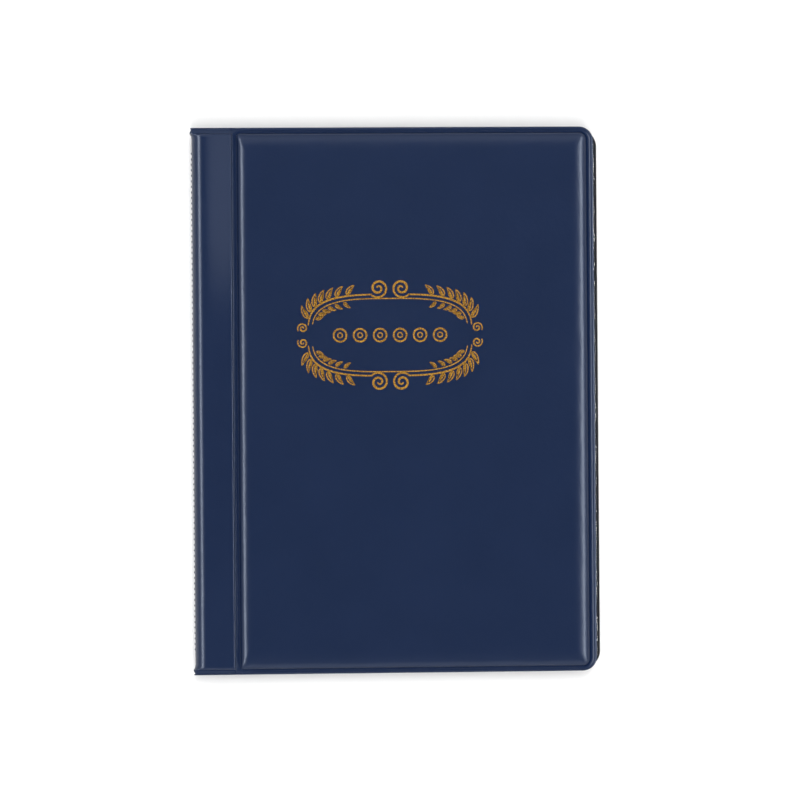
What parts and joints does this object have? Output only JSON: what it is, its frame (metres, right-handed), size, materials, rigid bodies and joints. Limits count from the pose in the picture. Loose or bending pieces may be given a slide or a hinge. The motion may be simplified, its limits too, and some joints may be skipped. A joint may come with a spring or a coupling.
{
  "type": "coin album",
  "caption": "Small side-bound coin album with padded vinyl covers, a ribbed spine and black leaves of clear coin pockets.",
  "frame": {"origin": "under the middle of the closed album, on the surface that it lies on", "axes": "+X from the spine to the fore-edge, +Y from tail to head, +Z from the back cover to the front cover"},
  "size_m": [0.1298, 0.175, 0.0149],
  "materials": {
    "navy_vinyl": "navy vinyl with a fine grain and a soft sheen",
    "lining_vinyl": "plain matt navy vinyl",
    "black_vinyl": "black sheet vinyl",
    "clear_film": "clear glossy film",
    "card": "greyboard",
    "foam": "thin white foam sheet",
    "staple_wire": "bare wire",
    "gold_foil": "hot-stamped gold foil"
  },
  "bodies": {
    "binding": {"spine_skin": "navy_vinyl", "spine_lining": "lining_vinyl", "spine_board": "card", "front_strip_board": "card", "back_strip_board": "card", "leaf_margins": "black_vinyl", "staple_1": "staple_wire", "staple_2": "staple_wire", "staple_3": "staple_wire"},
    "back_cover": {"back_cover_skin": "navy_vinyl", "back_cover_foam": "foam", "back_cover_board": "card", "back_cover_lining": "lining_vinyl"},
    "leaf_10": {"leaf_10_sheet": "black_vinyl", "leaf_10_pockets": "clear_film"},
    "leaf_09": {"leaf_09_sheet": "black_vinyl", "leaf_09_pockets": "clear_film"},
    "leaf_08": {"leaf_08_sheet": "black_vinyl", "leaf_08_pockets": "clear_film"},
    "leaf_07": {"leaf_07_sheet": "black_vinyl", "leaf_07_pockets": "clear_film"},
    "leaf_06": {"leaf_06_sheet": "black_vinyl", "leaf_06_pockets": "clear_film"},
    "leaf_05": {"leaf_05_sheet": "black_vinyl", "leaf_05_pockets": "clear_film"},
    "leaf_04": {"leaf_04_sheet": "black_vinyl", "leaf_04_pockets": "clear_film"},
    "leaf_03": {"leaf_03_sheet": "black_vinyl", "leaf_03_pockets": "clear_film"},
    "leaf_02": {"leaf_02_sheet": "black_vinyl", "leaf_02_pockets": "clear_film"},
    "leaf_01": {"leaf_01_sheet": "black_vinyl", "leaf_01_pockets": "clear_film"},
    "front_cover": {"front_cover_skin": "navy_vinyl", "front_cover_foam": "foam", "front_cover_board": "card", "front_cover_lining": "lining_vinyl"}
  },
  "joints": [
    {"name": "back_cover_hinge", "type": "hinge", "parent": "binding", "child": "back_cover", "pos_m": [-0.05065, 0, 0], "axis": [0, -1, 0], "range_deg": [-179.9, 0]},
    {"name": "leaf_10_turn", "type": "hinge", "parent": "binding", "child": "leaf_10", "pos_m": [-0.05065, 0, 0.0149], "axis": [0, -1, 0], "range_deg": [0, 179.9]},
    {"name": "leaf_09_turn", "type": "hinge", "parent": "leaf_10", "child": "leaf_09", "pos_m": [-0.05065, 0, 0.0149], "axis": [0, -1, 0], "range_deg": [0, 179.9]},
    {"name": "leaf_08_turn", "type": "hinge", "parent": "leaf_09", "child": "leaf_08", "pos_m": [-0.05065, 0, 0.0149], "axis": [0, -1, 0], "range_deg": [0, 179.9]},
    {"name": "leaf_07_turn", "type": "hinge", "parent": "leaf_08", "child": "leaf_07", "pos_m": [-0.05065, 0, 0.0149], "axis": [0, -1, 0], "range_deg": [0, 179.9]},
    {"name": "leaf_06_turn", "type": "hinge", "parent": "leaf_07", "child": "leaf_06", "pos_m": [-0.05065, 0, 0.0149], "axis": [0, -1, 0], "range_deg": [0, 179.9]},
    {"name": "leaf_05_turn", "type": "hinge", "parent": "leaf_06", "child": "leaf_05", "pos_m": [-0.05065, 0, 0.0149], "axis": [0, -1, 0], "range_deg": [0, 179.9]},
    {"name": "leaf_04_turn", "type": "hinge", "parent": "leaf_05", "child": "leaf_04", "pos_m": [-0.05065, 0, 0.0149], "axis": [0, -1, 0], "range_deg": [0, 179.9]},
    {"name": "leaf_03_turn", "type": "hinge", "parent": "leaf_04", "child": "leaf_03", "pos_m": [-0.05065, 0, 0.0149], "axis": [0, -1, 0], "range_deg": [0, 179.9]},
    {"name": "leaf_02_turn", "type": "hinge", "parent": "leaf_03", "child": "leaf_02", "pos_m": [-0.05065, 0, 0.0149], "axis": [0, -1, 0], "range_deg": [0, 179.9]},
    {"name": "leaf_01_turn", "type": "hinge", "parent": "leaf_02", "child": "leaf_01", "pos_m": [-0.05065, 0, 0.0149], "axis": [0, -1, 0], "range_deg": [0, 179.9]},
    {"name": "front_cover_hinge", "type": "hinge", "parent": "leaf_01", "child": "front_cover", "pos_m": [-0.05065, 0, 0.0149], "axis": [0, -1, 0], "range_deg": [0, 179.9]}
  ]
}
